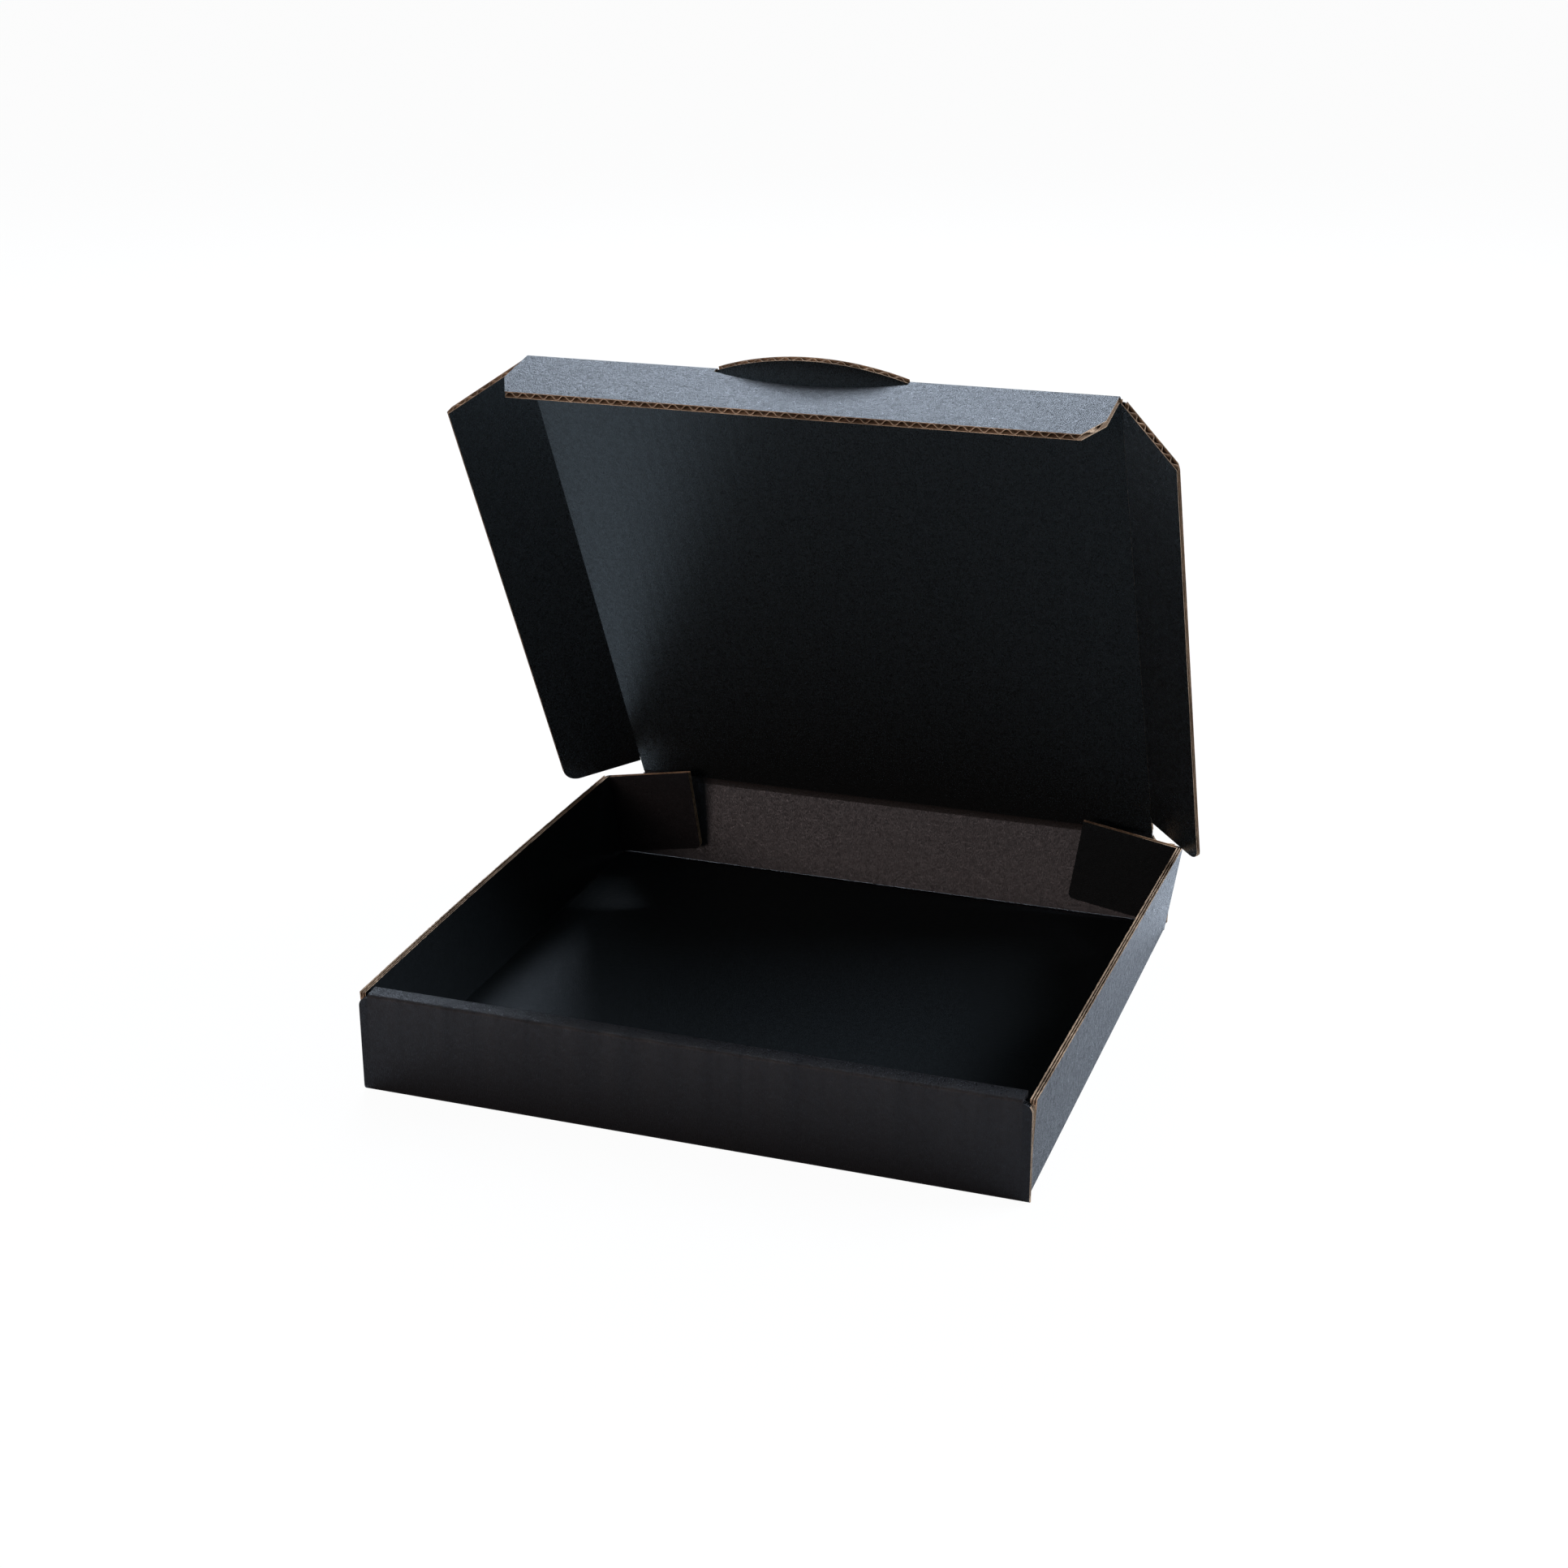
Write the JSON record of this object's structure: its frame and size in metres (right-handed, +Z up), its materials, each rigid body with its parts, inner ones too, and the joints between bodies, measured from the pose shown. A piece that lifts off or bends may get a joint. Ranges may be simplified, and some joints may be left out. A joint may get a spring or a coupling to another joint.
{
  "type": "mailer box",
  "caption": "Flat black mailer box folded from fluted board, standing open, with a rolled front, a hinged lid, side flaps, a tuck flap with a thumb tab and rear corner flaps.",
  "frame": {"origin": "middle of the tray's underside, on the surface the box stands on", "axes": "+X to the right along the hinge, +Y from the rolled front to the hinge, +Z up"},
  "size_m": [0.3322, 0.2936, 0.2973],
  "materials": {
    "black_board": "matte"
  },
  "bodies": {
    "tray": {"tray": "black_board"},
    "lid": {"lid": "black_board"},
    "left_flap": {"left_flap": "black_board"},
    "right_flap": {"right_flap": "black_board"},
    "tuck_flap": {"tuck_flap": "black_board"},
    "rear_left_flap": {"rear_left_flap": "black_board"},
    "rear_right_flap": {"rear_right_flap": "black_board"}
  },
  "joints": [
    {"name": "lid_hinge", "type": "hinge", "parent": "tray", "child": "lid", "pos_m": [0, 0.1502, 0.0458], "axis": [-1, 0, 0], "range_deg": [0, 117.5]},
    {"name": "right_flap_fold", "type": "hinge", "parent": "lid", "child": "right_flap", "pos_m": [0.1355, 0.08618, 0.16574], "axis": [0, 0.4617, -0.887], "range_deg": [-46, 44]},
    {"name": "left_flap_fold", "type": "hinge", "parent": "lid", "child": "left_flap", "pos_m": [-0.1355, 0.08618, 0.16574], "axis": [0, -0.4617, 0.887], "range_deg": [-46, 44]},
    {"name": "tuck_fold", "type": "hinge", "parent": "lid", "child": "tuck_flap", "pos_m": [0, 0.02341, 0.28633], "axis": [1, 0, 0], "range_deg": [-74, 16]},
    {"name": "rear_right_fold", "type": "hinge", "parent": "tray", "child": "rear_right_flap", "pos_m": [0.1437, 0.1357, 0.0028], "axis": [0.1505, 0, 0.9886], "range_deg": [-3.5, 75]},
    {"name": "rear_left_fold", "type": "hinge", "parent": "tray", "child": "rear_left_flap", "pos_m": [-0.1437, 0.1357, 0.0028], "axis": [0.1505, 0, -0.9886], "range_deg": [-3.5, 75]}
  ]
}
